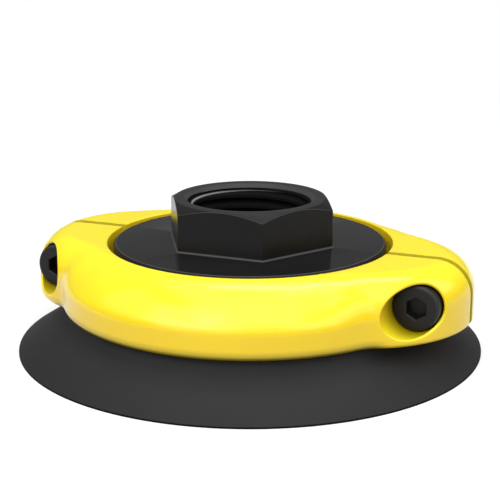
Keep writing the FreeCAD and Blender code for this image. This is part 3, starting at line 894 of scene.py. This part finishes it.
def surface_reach(x, z):
    """How far forward of the split the clamp's skin lies over a point seen from the front."""
    low, high = 0.0, CUTTER_TOP
    for _ in range(HALVINGS):
        middle = (low + high) / 2.0
        wall, crease, _, centre, radius = dome(math.atan2(middle, x))
        over = min(max(z - centre[1], 0.0), radius)
        edge = wall if z <= crease else centre[0] + math.sqrt(radius**2 - over**2)
        if math.hypot(x, middle) < edge:
            low = middle
        else:
            high = middle
    return low


def mouth_line(turn):
    """Distances from the screw's axis and the split, from the hole's foot to off the surface."""
    cosine, sine = math.cos(turn), math.sin(turn)
    rim, beyond = (
        surface_reach(SCREW_X + off * cosine, SCREW_Z + off * sine)
        for off in (COUNTERBORE_RADIUS, COUNTERBORE_RADIUS + PROBE))
    slope = (beyond - rim) / PROBE
    steep = math.hypot(1.0, slope)
    centre_r = COUNTERBORE_RADIUS + MOUTH_ROUND
    centre_y = rim + slope * MOUTH_ROUND - MOUTH_ROUND * steep
    last = math.atan2(1.0, -slope) + LEAVE_ANGLE
    line = [(HOLE_RADIUS, 0.0), (HOLE_RADIUS, SCREW_SEAT), (COUNTERBORE_RADIUS, SCREW_SEAT)]
    for step in range(MOUTH_STEPS + 1):
        angle = math.pi + (last - math.pi) * step / MOUTH_STEPS
        line.append((
            centre_r + MOUTH_ROUND * math.cos(angle), centre_y + MOUTH_ROUND * math.sin(angle)))
    clear_r = line[-1][0] + LEAVE_LENGTH * math.sin(last)
    clear_y = line[-1][1] - LEAVE_LENGTH * math.cos(last)
    return line + [(clear_r, clear_y), (clear_r, CUTTER_TOP)]


reaches = [round(mouth_line(turn)[-3][1], 2) for turn in (0.0, math.pi / 2.0, math.pi)]
print("mouths reach", reaches, "mm forward")

# %% Cutters
CUTTER_STEPS = 120


def screw_cutter(name, line_at, side):
    """A closed cutter on both screw axes, from a line for each direction round the axis."""
    points, faces = [], []
    for way in (-1.0, 1.0):
        rings = []
        for step in range(CUTTER_STEPS):
            turn = 2.0 * math.pi * step / CUTTER_STEPS
            r, y = np.array(line_at(turn)).T
            x, z = way * (SCREW_X + r * math.cos(turn)), SCREW_Z + r * math.sin(turn)
            rings.append(np.stack([x, side * y, z], axis=-1))
        rings = np.array(rings)
        long = rings.shape[1]
        offset = len(points) * CUTTER_STEPS * long
        ends = [[step * long + end for step in range(CUTTER_STEPS)] for end in (0, long - 1)]
        for face in skin(rings, True, False) + ends:
            faces.append([number + offset for number in face])
        points.append(rings)
    return new_piece(name, np.array(points), faces)


def cut(piece, cutter):
    """Take a cutter's space out of a piece."""
    modifier = piece.modifiers.new("holes", "BOOLEAN")
    modifier.operation, modifier.solver, modifier.object = "DIFFERENCE", "EXACT", cutter
    mesh = evaluated_mesh(piece)
    piece.modifiers.remove(modifier)
    piece.data = mesh
    smooth(mesh)
    bpy.data.objects.remove(cutter)


mouths = screw_cutter("mouths", mouth_line, -1.0)
print("a cutter of", len(mouths.data.polygons), "faces")

# %% Holes in both halves
INSERT_RADIUS, INSERT_END, HOLE_END = 2.8, 8.75, 11.0

cut(front, mouths)
cut(rear, screw_cutter("insert_holes", lambda turn: [
    (INSERT_RADIUS, 0.0), (INSERT_RADIUS, INSERT_END), (HOLE_RADIUS, INSERT_END),
    (HOLE_RADIUS, HOLE_END)], 1.0))
seat(front, "front_clamp_half")
seat(rear, "rear_clamp_half")

# %% [markdown]
# ## The screws
# A socket head cap screw has a hexagon inside its head and a thread on its shank, so it is made
# like the fitting, with one outline for each direction. The part needs the same screw twice,
# which is a job for a tree: it sets the screw on two points and makes the copies real.

# %% One screw
SCREW_TIP, HEAD_RADIUS, HEAD_HEIGHT, SHANK_RADIUS = 9.9, 3.6, 4.0, 2.0
SOCKET_FLATS, SOCKET_DEPTH = 3.0, 2.0
SOCKET_CHAMFER, TIP_CHAMFER = 0.15, 0.5
SCREW_PITCH, SCREW_THREAD, SCREW_STEPS = 0.7, 0.38, 8
PLAIN_SHANK, THREAD_GAP, RUN_IN = 2.5, 0.1, 1.0


def screw_outline(angle, socket):
    """Radius, distance along the axis and edge mark, from the socket's floor to the screw's tip."""
    face = -SCREW_SEAT - HEAD_HEIGHT
    points, on_arc = rounded([
        (0, face + SOCKET_DEPTH, 0), (socket, face + SOCKET_DEPTH, 0), (socket, face + 0.12, 0.02),
        (socket + SOCKET_CHAMFER, face, 0.05), (HEAD_RADIUS, face, 0.5),
        (HEAD_RADIUS, -SCREW_SEAT, 0.12), (SHANK_RADIUS, -SCREW_SEAT, 0),
        (SHANK_RADIUS, -SCREW_SEAT + PLAIN_SHANK, 0),
    ], steps=5)
    thread_start = -SCREW_SEAT + PLAIN_SHANK + THREAD_GAP
    levels = np.arange(thread_start, SCREW_TIP, SCREW_PITCH / SCREW_STEPS)
    shank = []
    for level in levels:
        turns = level / SCREW_PITCH - angle / (2.0 * math.pi)
        run_in = eased(level, thread_start, thread_start + RUN_IN)
        thread = SHANK_RADIUS - SCREW_THREAD * run_in * thread_wave(turns)
        shank.append((min(thread, SHANK_RADIUS - TIP_CHAMFER + SCREW_TIP - level), level))
    shank += [(SHANK_RADIUS - TIP_CHAMFER - 0.05, SCREW_TIP), (0, SCREW_TIP)]
    return np.vstack([points, shank]), np.concatenate([on_arc, np.zeros(len(shank))])


rings, marks = [], []
for angle, socket in hexagon_stations(
        SOCKET_FLATS, corner_round=0.12, flat_steps=7, corner_steps=3, first_corner=30.0):
    points, on_arc = screw_outline(angle, socket)
    r, y = points.T
    rings.append(np.stack([r * math.cos(angle), y, SCREW_Z + r * math.sin(angle)], axis=-1))
    marks.append(on_arc)
screws = new_piece(
    "screws", np.array(rings), skin(np.array(rings), True, False), oxide, np.array(marks))
print("one screw of", len(screws.data.polygons), "faces")

# %% Two screws from one
tree, wire = new_tree("screw_pair", ["Geometry", "Spacing", "Finish"])
side = wire["Spacing"] * 0.5
ends = [side.node("ShaderNodeCombineXYZ", {}, {"X": value}) for value in (side * -1.0, side)]
spots = side.node("GeometryNodeMeshLine", {"mode": "END_POINTS"}, {
    "Count": 2, "Start Location": ends[0], "Offset": ends[1]})
pair = spots.node(
    "GeometryNodeInstanceOnPoints", {}, {"Points": spots, "Instance": wire["Geometry"]})
close_tree(tree, pair, wire["Finish"])
run_tree(screws, tree, Spacing=2.0 * SCREW_X * MM, Finish=oxide)
seat(screws, "clamp_screws")

# %% [markdown]
# ## The inserts
# The solid inserts have the right shape already, and little of them shows, so they only get their
# brass.

# %% Brass on the inserts
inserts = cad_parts["thread_inserts"]
inserts.data.materials.clear()
inserts.data.materials.append(brass)
print("inserts are", inserts.data.materials[0].name)

# %% [markdown]
# ## Floor and light
# The photograph has a plain white ground and very even light, strongest from the front and above.
# The floor is white and keeps a soft shadow under the lip. Seen straight or in a reflection, it
# is partly its own white, so the picture's ground stays white without more light on the object.
# The light is a faint sky and a ring of softboxes, each an area lamp that faces the part. Three
# thin strips high behind the part draw the pale streaks along the yellow dome.

# %% Floor
FLOOR_SIDE = 4.0
NEAR_GLOW, FAR_GLOW, GLOW_RADII = 0.45, 0.55, (0.06, 0.35)
BOUNCE_GREY, FLOOR_WHITE = (0.3, 0.3, 0.3, 1), (0.92, 0.92, 0.92, 1)

corners = [(x, y, 0.0) for x, y in ((-1, -1), (1, -1), (1, 1), (-1, 1))]
floor = new_piece("floor", np.array(corners) * FLOOR_SIDE / 2.0 / MM, [[0, 1, 2, 3]])
ground = bpy.data.materials.new("ground")
ground.use_nodes = True
nodes = ground.node_tree.nodes
nodes.clear()
rays = nodes.new("ShaderNodeLightPath")
seen = Wire(rays.outputs["Is Camera Ray"]) + Wire(rays.outputs["Is Glossy Ray"])
seen = (seen + Wire(rays.outputs["Is Transmission Ray"])).math("MINIMUM", 1.0)
where = seen.node("ShaderNodeTexCoord", output="Object")
_, _, _, away = axis_parts(where)
share = seen * (NEAR_GLOW + away.between(*GLOW_RADII) * FAR_GLOW)
paint = seen.node("ShaderNodeBsdfDiffuse", {}, {"Color": seen.mix(BOUNCE_GREY, FLOOR_WHITE)})
glow = seen.node("ShaderNodeEmission", {}, {"Strength": 1.0})
both = seen.node("ShaderNodeMixShader", {}, {0: share, 1: paint, 2: glow})
plug(nodes.new("ShaderNodeOutputMaterial").inputs["Surface"], both)
floor.data.materials.append(ground)
print("floor", FLOOR_SIDE, "m wide")

# %% World
HORIZON, ZENITH, SKY_RISE = 0.21, 0.43, (0.2, 0.9)

world = bpy.data.worlds.new("studio")
bpy.context.scene.world = world
world.use_nodes = True
nodes = world.node_tree.nodes
direction = Wire(nodes.new("ShaderNodeTexCoord").outputs["Generated"])
climb = direction.node("ShaderNodeSeparateXYZ", {}, {0: direction}, output=2)
brightness = HORIZON + climb.between(*SKY_RISE) * (ZENITH - HORIZON)
plug(nodes["Background"].inputs["Strength"], brightness)
nodes["Background"].inputs["Color"].default_value = (1, 1, 1, 1)
print("sky from", HORIZON, "to", ZENITH)

# %% Lamps
LAMP_DISTANCE = 0.9
LAMPS = [
    ("panel", 22.5, 62.0, 0.75, 1.0, 0.6),
    ("key_box", 22.0, 58.0, 0.9, 0.6, 2.9),
    ("left_box", -24.0, 42.0, 0.6, 0.5, 1.6),
    ("low_box", -10.0, 24.0, 0.8, 0.6, 2.25),
    ("low_right_box", 35.0, 20.0, 0.7, 0.35, 0.6),
    ("left_side_box", -62.0, 38.0, 0.6, 0.5, 0.65),
    ("right_low_box", 72.0, 28.0, 0.6, 0.4, 1.3),
    ("right_box", 112.0, 38.0, 0.5, 0.6, 1.65),
    ("top_box", 202.5, 82.0, 0.8, 0.7, 2.1),
    ("strip", 192.0, 71.5, 0.42, 0.08, 0.75),
    ("short_strip", 152.0, 66.0, 0.16, 0.08, 0.15),
    ("end_strip", 130.0, 77.0, 0.06, 0.08, 0.07),
]


def softbox(name, azimuth, elevation, wide, high, power):
    """An oblong lamp that faces the part, at an azimuth as the camera's, with sides in metres."""
    lamp = bpy.data.objects.new(name, bpy.data.lights.new(name, "AREA"))
    lamp.data.shape = "RECTANGLE"
    lamp.data.size, lamp.data.size_y = wide, high
    lamp.data.energy = power
    a, e = math.radians(azimuth), math.radians(elevation)
    lamp.location = (
        LAMP_DISTANCE * math.sin(a) * math.cos(e), -LAMP_DISTANCE * math.cos(a) * math.cos(e),
        LAMP_DISTANCE * math.sin(e))
    lamp.rotation_euler = (math.radians(90.0 - elevation), 0.0, a)
    bpy.context.scene.collection.objects.link(lamp)


for lamp_values in LAMPS:
    softbox(*lamp_values)
print("lamps", [lamp.name for lamp in bpy.data.lights])

# %% [markdown]
